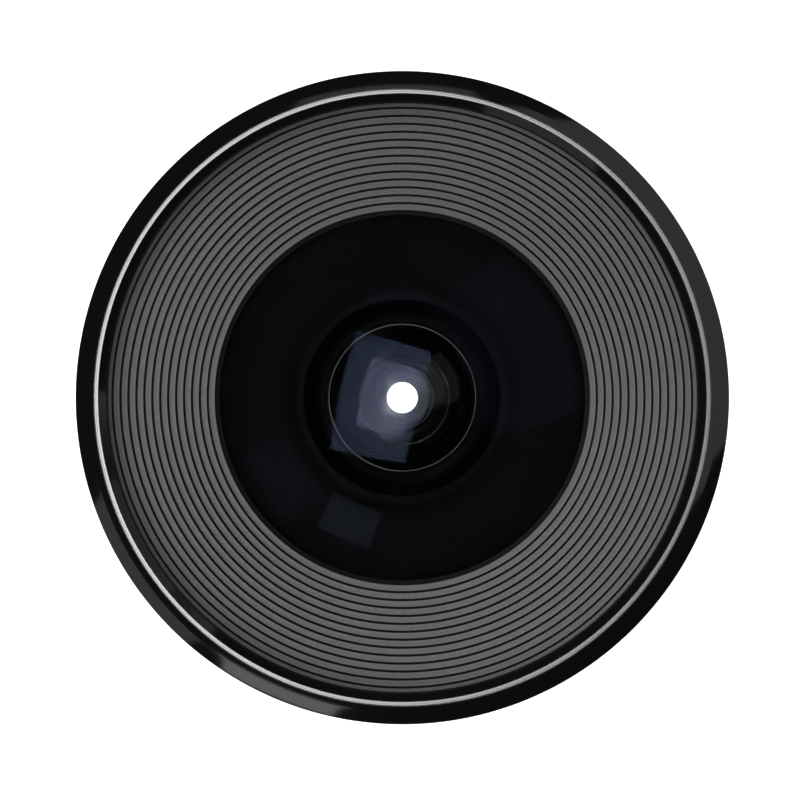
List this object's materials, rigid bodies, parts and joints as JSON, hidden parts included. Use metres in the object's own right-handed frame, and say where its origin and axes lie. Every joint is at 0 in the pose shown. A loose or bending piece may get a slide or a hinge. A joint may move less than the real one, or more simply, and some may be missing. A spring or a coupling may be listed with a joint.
{
  "type": "cine lens",
  "caption": "Wide-angle cine lens: stepped front baffle round a domed element, geared focus and iris rings, sliding focus group, bladed iris, four-lobed bayonet mount.",
  "frame": {"origin": "on the optical axis, at the seat of the mount's flange", "axes": "+Z along the optical axis, towards the subject; +X through the lobe with the locating slot"},
  "size_m": [0.114, 0.114, 0.1025],
  "materials": {
    "front_anodised": "satin black hard anodised, slightly glossy",
    "bezel_metal": "fine-turned satin metal",
    "baffle_matte": "matte dark grey anodised",
    "ring_anodised": "satin black anodised with paint-filled figures",
    "cell_black": "matte black anodised",
    "core_metal": "black anodised, lightly greased",
    "iris_black": "blackened",
    "blade_steel": "blued spring steel",
    "cam_bronze": "turned bronze",
    "pin_steel": "ground",
    "shim_steel": "rolled",
    "mount_steel": "turned and hard",
    "screw_black": "black oxide",
    "front_glass": "polished, coated, with a blackened edge",
    "inner_glass": "polished and coated"
  },
  "bodies": {
    "barrel": {"front_ring": "front_anodised", "front_bezel": "bezel_metal", "stepped_baffle": "baffle_matte", "front_ring_screws": "screw_black", "front_cell": "cell_black", "front_cell_screws": "screw_black", "front_retainer": "cell_black", "element_1": "front_glass", "element_2": "inner_glass", "element_2_retainer": "cell_black", "guide_barrel": "core_metal", "index_ring": "ring_anodised", "index_ring_screws": "screw_black", "rear_barrel": "ring_anodised", "core_screws": "screw_black", "focus_stop_pin": "pin_steel", "iris_stop_pin": "pin_steel", "iris_base_plate": "iris_black", "iris_snap_ring": "pin_steel", "rear_cell": "cell_black", "rear_cell_screws": "screw_black", "element_6": "inner_glass", "element_7": "inner_glass", "element_8": "inner_glass", "element_9": "inner_glass", "element_6_retainer": "cell_black", "rear_spacer": "cell_black", "rear_retainer": "cell_black", "rear_shroud": "cell_black", "mount_shim": "shim_steel", "camera_mount": "mount_steel", "mount_screws": "mount_steel"},
    "focus": {"focus_ring": "ring_anodised", "focus_cam_sleeve": "cam_bronze", "focus_ring_screws": "screw_black"},
    "carriage": {"focus_carriage": "core_metal", "element_3": "inner_glass", "element_4": "inner_glass", "element_5": "inner_glass", "group_spacer": "cell_black", "carriage_retainer": "cell_black", "cam_rollers": "pin_steel", "follower_screws": "pin_steel"},
    "iris": {"iris_ring": "ring_anodised", "iris_drive_pin": "pin_steel", "iris_drive_ring": "iris_black"},
    "blade_1": {"iris_blade_1": "blade_steel"},
    "blade_2": {"iris_blade_2": "blade_steel"},
    "blade_3": {"iris_blade_3": "blade_steel"},
    "blade_4": {"iris_blade_4": "blade_steel"},
    "blade_5": {"iris_blade_5": "blade_steel"},
    "blade_6": {"iris_blade_6": "blade_steel"},
    "blade_7": {"iris_blade_7": "blade_steel"},
    "blade_8": {"iris_blade_8": "blade_steel"},
    "blade_9": {"iris_blade_9": "blade_steel"}
  },
  "joints": [
    {"name": "focus_turn", "type": "hinge", "parent": "barrel", "child": "focus", "pos_m": [0, 0, 0.05], "axis": [0, 0, -1], "range_deg": [0, 300]},
    {"name": "carriage_slide", "type": "slide", "parent": "barrel", "child": "carriage", "axis": [0, 0, 1], "range_m": [0, 0.004]},
    {"name": "iris_turn", "type": "hinge", "parent": "barrel", "child": "iris", "pos_m": [0, 0, 0.021], "axis": [0, 0, 1], "range_deg": [0, 48]},
    {"name": "blade_1_swing", "type": "hinge", "parent": "barrel", "child": "blade_1", "pos_m": [0.0175, 0, 0.021], "axis": [0, 0, 1], "range_deg": [0, 22.74]},
    {"name": "blade_2_swing", "type": "hinge", "parent": "barrel", "child": "blade_2", "pos_m": [0.01341, 0.01125, 0.021], "axis": [0, 0, 1], "range_deg": [0, 22.74]},
    {"name": "blade_3_swing", "type": "hinge", "parent": "barrel", "child": "blade_3", "pos_m": [0.00304, 0.01723, 0.021], "axis": [0, 0, 1], "range_deg": [0, 22.74]},
    {"name": "blade_4_swing", "type": "hinge", "parent": "barrel", "child": "blade_4", "pos_m": [-0.00875, 0.01516, 0.021], "axis": [0, 0, 1], "range_deg": [0, 22.74]},
    {"name": "blade_5_swing", "type": "hinge", "parent": "barrel", "child": "blade_5", "pos_m": [-0.01644, 0.00599, 0.021], "axis": [0, 0, 1], "range_deg": [0, 22.74]},
    {"name": "blade_6_swing", "type": "hinge", "parent": "barrel", "child": "blade_6", "pos_m": [-0.01644, -0.00599, 0.021], "axis": [0, 0, 1], "range_deg": [0, 22.74]},
    {"name": "blade_7_swing", "type": "hinge", "parent": "barrel", "child": "blade_7", "pos_m": [-0.00875, -0.01516, 0.021], "axis": [0, 0, 1], "range_deg": [0, 22.74]},
    {"name": "blade_8_swing", "type": "hinge", "parent": "barrel", "child": "blade_8", "pos_m": [0.00304, -0.01723, 0.021], "axis": [0, 0, 1], "range_deg": [0, 22.74]},
    {"name": "blade_9_swing", "type": "hinge", "parent": "barrel", "child": "blade_9", "pos_m": [0.01341, -0.01125, 0.021], "axis": [0, 0, 1], "range_deg": [0, 22.74]}
  ],
  "couplings": [
    {"joint": "carriage_slide", "follows": "focus_turn", "m_per_rad": 0.00076394},
    {"joint": "blade_1_swing", "follows": "iris_turn", "ratio": 0.47375},
    {"joint": "blade_2_swing", "follows": "iris_turn", "ratio": 0.47375},
    {"joint": "blade_3_swing", "follows": "iris_turn", "ratio": 0.47375},
    {"joint": "blade_4_swing", "follows": "iris_turn", "ratio": 0.47375},
    {"joint": "blade_5_swing", "follows": "iris_turn", "ratio": 0.47375},
    {"joint": "blade_6_swing", "follows": "iris_turn", "ratio": 0.47375},
    {"joint": "blade_7_swing", "follows": "iris_turn", "ratio": 0.47375},
    {"joint": "blade_8_swing", "follows": "iris_turn", "ratio": 0.47375},
    {"joint": "blade_9_swing", "follows": "iris_turn", "ratio": 0.47375}
  ]
}
